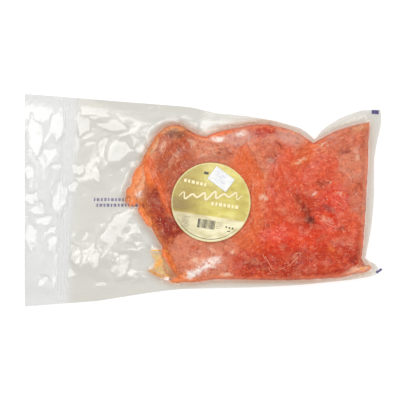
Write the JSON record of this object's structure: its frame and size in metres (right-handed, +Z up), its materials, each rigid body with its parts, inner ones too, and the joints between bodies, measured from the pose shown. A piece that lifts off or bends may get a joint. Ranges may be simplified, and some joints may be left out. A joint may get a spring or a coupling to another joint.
{
  "type": "pack of smoked salmon",
  "caption": "Clear vacuum pouch of smoked salmon pieces, lying flat, with an empty header, a round paper label and a small price sticker.",
  "frame": {"origin": "on the surface the pack lies on, under the middle of the pouch", "axes": "+X along the pouch from its empty header to its full end, +Y across it, +Z up, towards the labelled side"},
  "size_m": [0.347, 0.205, 0.022],
  "materials": {
    "pouch": "clear glossy film drawn tight over moist orange-red fish",
    "label_paper": "semi-gloss printed label, muted gold over cream",
    "sticker_paper": "matt white"
  },
  "bodies": {
    "root": {"pouch": "pouch", "round_label": "label_paper", "price_sticker": "sticker_paper"}
  },
  "joints": []
}
